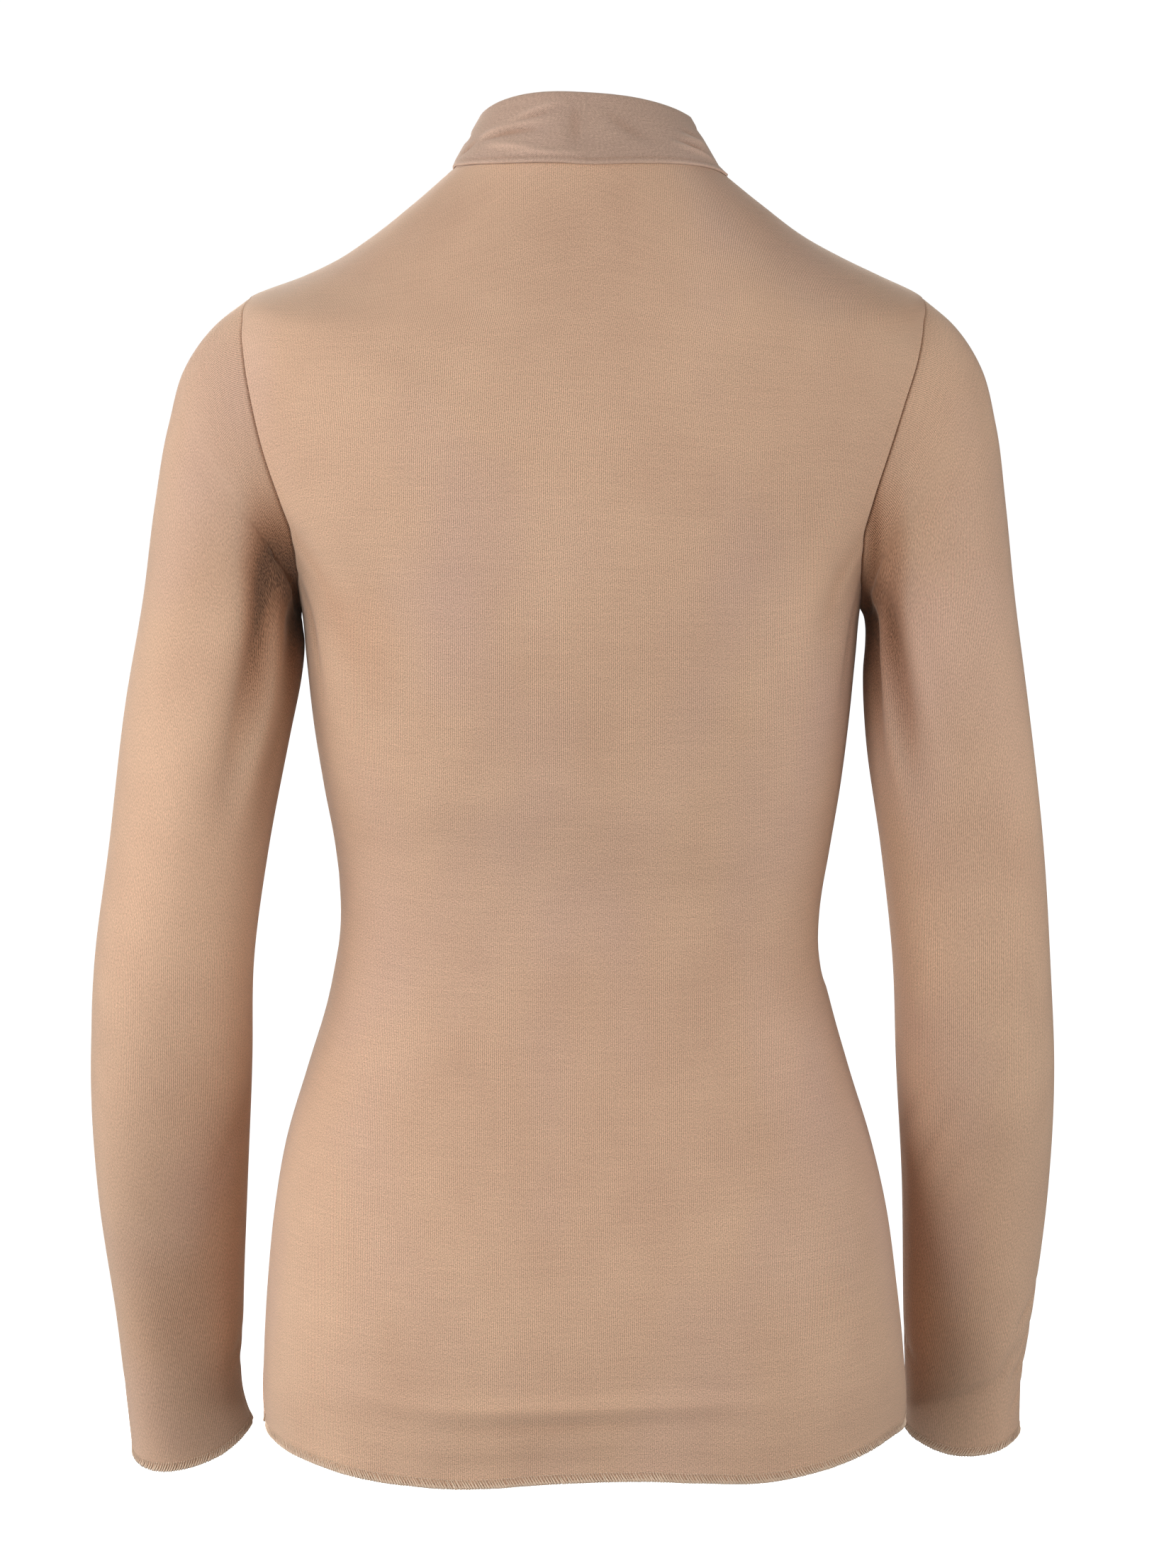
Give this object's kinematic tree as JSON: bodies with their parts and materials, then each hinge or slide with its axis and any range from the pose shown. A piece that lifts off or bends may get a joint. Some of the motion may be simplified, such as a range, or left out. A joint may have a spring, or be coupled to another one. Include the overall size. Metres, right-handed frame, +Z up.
{
  "type": "turtleneck top",
  "caption": "Long-sleeved turtleneck top in fine beige stretch jersey, hollow and filled out as when worn, with a low folded collar and a hem at the hips.",
  "frame": {"origin": "middle of the neck, level with the high points of the shoulders, where the neck seam crosses the shoulder line", "axes": "+Z up along the wearer's spine, -Y towards the front of the garment, +X towards the wearer's left side"},
  "size_m": [0.4876, 0.2359, 0.7021],
  "materials": {
    "jersey": "matte"
  },
  "bodies": {
    "root": {"front": "jersey", "back": "jersey", "sleeve_left": "jersey", "sleeve_right": "jersey", "collar": "jersey"}
  },
  "joints": []
}
